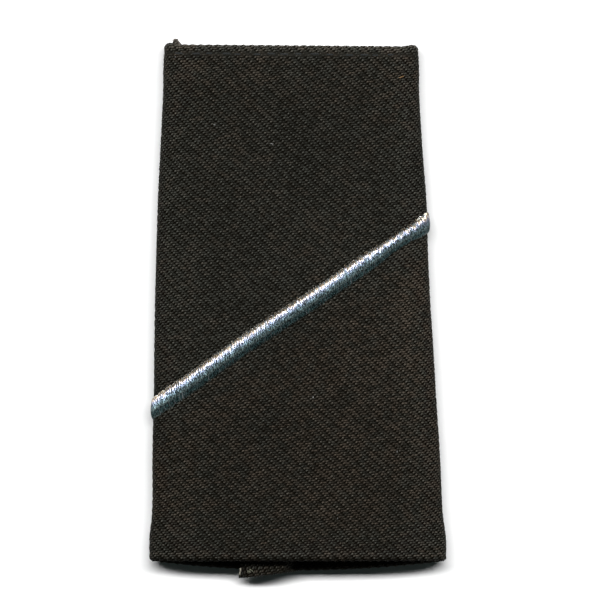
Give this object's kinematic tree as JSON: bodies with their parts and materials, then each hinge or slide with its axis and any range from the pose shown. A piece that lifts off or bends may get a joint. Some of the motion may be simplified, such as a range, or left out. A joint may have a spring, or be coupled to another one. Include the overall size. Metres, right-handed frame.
{
  "type": "cloth shoulder slide with one diagonal bar",
  "caption": "Flattened, tapered cloth sleeve that slips over a shoulder strap, with a raised diagonal bar of metallic thread across its front.",
  "frame": {"origin": "middle of the whole object's outline, on the surface that the back panel lies on", "axes": "+Z out of the front panel, +Y along the sleeve towards the narrow end, +X to the right of the front"},
  "size_m": [0.0576, 0.1046, 0.0084],
  "materials": {
    "twill": "black worsted two-and-two twill, matt with a slight sheen",
    "silver_thread": "silver metallic thread in close satin stitch over padding"
  },
  "bodies": {
    "root": {"sleeve": "twill", "stripe": "silver_thread", "seam_allowance": "twill", "hem_corner": "twill"}
  },
  "joints": []
}
